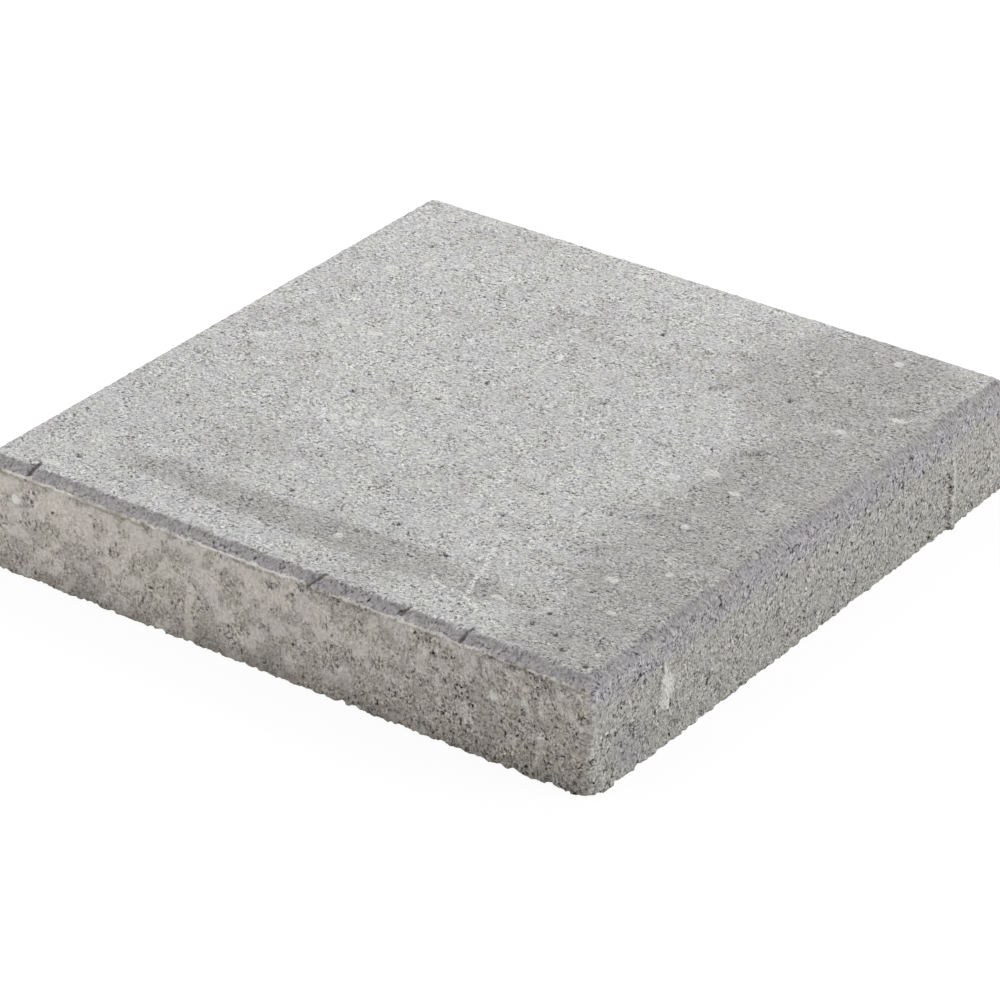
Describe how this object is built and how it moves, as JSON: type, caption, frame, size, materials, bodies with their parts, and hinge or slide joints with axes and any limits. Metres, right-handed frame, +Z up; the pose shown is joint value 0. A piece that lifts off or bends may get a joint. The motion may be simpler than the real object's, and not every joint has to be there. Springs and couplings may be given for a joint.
{
  "type": "concrete paving slab",
  "caption": "Square pressed concrete paving slab with a chamfered wearing face and upright spacer nibs on adjacent sides, lying flat.",
  "frame": {"origin": "middle of the 300 mm laying-grid square, on the underside; the cast body sits half a joint towards -X and -Y", "axes": "+Z up out of the wearing face; the spacer nibs stand on the +X and +Y sides"},
  "size_m": [0.3, 0.3, 0.051],
  "materials": {
    "concrete": "pressed, open-grained, matt"
  },
  "bodies": {
    "root": {"paving_stone": "concrete"}
  },
  "joints": []
}
